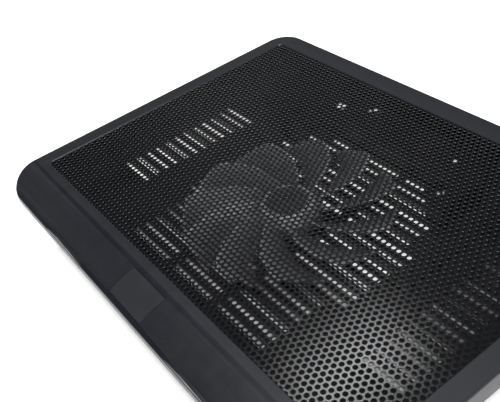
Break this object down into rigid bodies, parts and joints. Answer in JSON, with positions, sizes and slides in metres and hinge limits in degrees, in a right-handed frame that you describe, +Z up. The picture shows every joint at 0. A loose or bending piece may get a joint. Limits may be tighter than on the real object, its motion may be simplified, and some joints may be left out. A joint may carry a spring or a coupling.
{
  "type": "laptop cooling pad",
  "caption": "Flat laptop cooling pad: bezel with a curved front border around a perforated steel sheet over an open swept-blade fan, on a slotted tray with rubber pads and a fold-out rear stand.",
  "frame": {"origin": "table level, under the middle of the pad's outline", "axes": "+Z up; +X to the right along the front edge; +Y towards the back"},
  "size_m": [0.33, 0.2516, 0.0238],
  "materials": {
    "bezel_plastic": "fine satin moulded black plastic",
    "badge_plastic": "smooth black inlay",
    "mesh_steel": "satin black painted perforated steel",
    "tray_plastic": "fine textured black plastic",
    "fan_plastic": "smooth grey fan plastic",
    "disc_film": "dark grey film disc",
    "bright_steel": "ground steel",
    "zinc_steel": "zinc plated steel",
    "magnet": "bonded ferrite",
    "bronze": "sintered bronze",
    "nylon": "white nylon",
    "board": "green circuit board",
    "laminations": "stacked steel laminations",
    "copper": "enamelled copper wire",
    "felt": "white felt",
    "lead_black": "black wire insulation",
    "rubber_black": "matt black rubber"
  },
  "bodies": {
    "housing": {"top_frame": "bezel_plastic", "badge_plate": "badge_plastic", "mesh_panel": "mesh_steel", "base_tray": "tray_plastic", "rubber_pad_front_left": "rubber_black", "rubber_pad_front_right": "rubber_black", "rubber_pad_back_left": "rubber_black", "rubber_pad_back_right": "rubber_black", "housing_screws": "zinc_steel", "fan_screws": "zinc_steel", "motor_base": "tray_plastic", "sleeve_bearing": "bronze", "thrust_washer": "nylon", "motor_board": "board", "stator_core": "laminations", "stator_windings": "copper", "fan_lead_supply": "lead_black", "fan_lead_return": "lead_black", "felt_pads": "felt", "cable_grommet": "rubber_black", "stand_pin_left": "bright_steel", "stand_pin_right": "bright_steel"},
    "fan_rotor": {"impeller": "fan_plastic", "hub_disc": "disc_film", "rotor_yoke": "zinc_steel", "rotor_magnet": "magnet", "rotor_shaft": "bright_steel", "shaft_clip": "bright_steel"},
    "rear_stand": {"rear_stand": "tray_plastic", "stand_tip_left": "rubber_black", "stand_tip_right": "rubber_black"}
  },
  "joints": [
    {"name": "fan_spin", "type": "hinge", "parent": "housing", "child": "fan_rotor", "pos_m": [0, -0.0083, 0.014], "axis": [0, 0, 1], "continuous": true},
    {"name": "stand_hinge", "type": "hinge", "parent": "housing", "child": "rear_stand", "pos_m": [0, 0.0515, 0.0083], "axis": [-1, 0, 0], "range_deg": [0, 98]}
  ]
}
